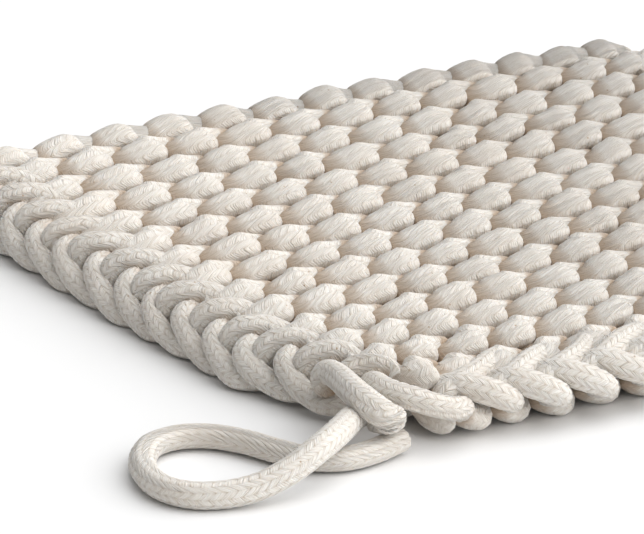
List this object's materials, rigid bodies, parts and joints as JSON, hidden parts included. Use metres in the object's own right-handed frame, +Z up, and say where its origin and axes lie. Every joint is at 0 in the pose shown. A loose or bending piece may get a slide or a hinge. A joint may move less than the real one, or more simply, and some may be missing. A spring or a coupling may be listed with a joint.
{
  "type": "pot holder",
  "caption": "Square pot holder knitted in garter stitch from thick braided cotton cord, lying flat, with a hanging loop at one corner.",
  "frame": {"origin": "below the middle of the knitted panel's box, on the surface it lies on; the hanging loop is left out of that box", "axes": "+X along the bound-off near edge, +Y from it towards the cast-on far edge, +Z up, away from the surface; the hanging loop is at the low X, low Y corner"},
  "size_m": [0.2503, 0.2055, 0.0175],
  "materials": {
    "cotton_knit": "undyed braided cotton cord, matt, knitted",
    "cotton_cord": "undyed braided cotton cord, matt"
  },
  "bodies": {
    "root": {"knitted_panel": "cotton_knit", "hanging_loop": "cotton_cord"}
  },
  "joints": []
}
